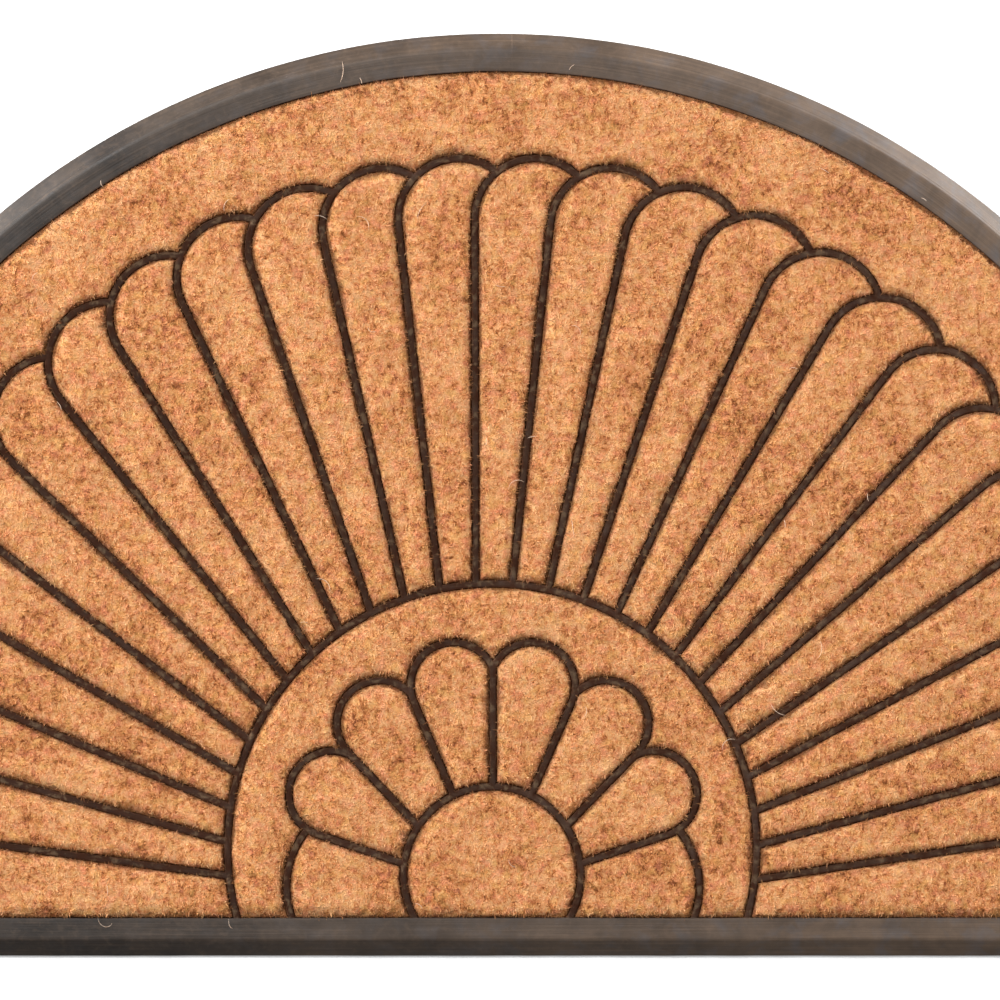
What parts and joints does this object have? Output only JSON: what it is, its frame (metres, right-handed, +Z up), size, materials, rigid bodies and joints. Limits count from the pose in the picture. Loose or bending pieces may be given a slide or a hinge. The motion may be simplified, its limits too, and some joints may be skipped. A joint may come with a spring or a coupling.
{
  "type": "half-round coir doormat",
  "caption": "Half-round doormat: a moulded rubber tray with a bevelled rim and raised ribs in a sunburst round a half daisy, its cells filled with coir pile.",
  "frame": {"origin": "middle of the mat's width and length, on its underside", "axes": "+X along the straight front edge to the right, +Y from the straight edge towards the arc, +Z up"},
  "size_m": [0.762, 0.4512, 0.012],
  "materials": {
    "rubber": "dull moulded black-brown rubber, scuffed and a little dusty",
    "coir": "matt natural coir pile, orange tan with straw and red-brown fibres"
  },
  "bodies": {
    "root": {"tray": "rubber", "coir_border": "coir", "coir_ring_band": "coir", "coir_daisy_disc": "coir", "coir_daisy_petal_1": "coir", "coir_daisy_petal_2": "coir", "coir_daisy_petal_3": "coir", "coir_daisy_petal_4": "coir", "coir_daisy_petal_5": "coir", "coir_daisy_petal_6": "coir", "coir_daisy_petal_7": "coir", "coir_daisy_petal_8": "coir", "coir_fan_petal_1": "coir", "coir_fan_petal_2": "coir", "coir_fan_petal_3": "coir", "coir_fan_petal_4": "coir", "coir_fan_petal_5": "coir", "coir_fan_petal_6": "coir", "coir_fan_petal_7": "coir", "coir_fan_petal_8": "coir", "coir_fan_petal_9": "coir", "coir_fan_petal_10": "coir", "coir_fan_petal_11": "coir", "coir_fan_petal_12": "coir", "coir_fan_petal_13": "coir", "coir_fan_petal_14": "coir", "coir_fan_petal_15": "coir", "coir_fan_petal_16": "coir", "coir_fan_petal_17": "coir", "coir_fan_petal_18": "coir", "coir_fan_petal_19": "coir", "coir_fan_petal_20": "coir", "coir_fan_petal_21": "coir", "coir_fan_petal_22": "coir", "coir_fan_petal_23": "coir", "coir_fan_petal_24": "coir", "coir_fan_petal_25": "coir", "coir_fan_petal_26": "coir", "coir_fan_petal_27": "coir"}
  },
  "joints": []
}
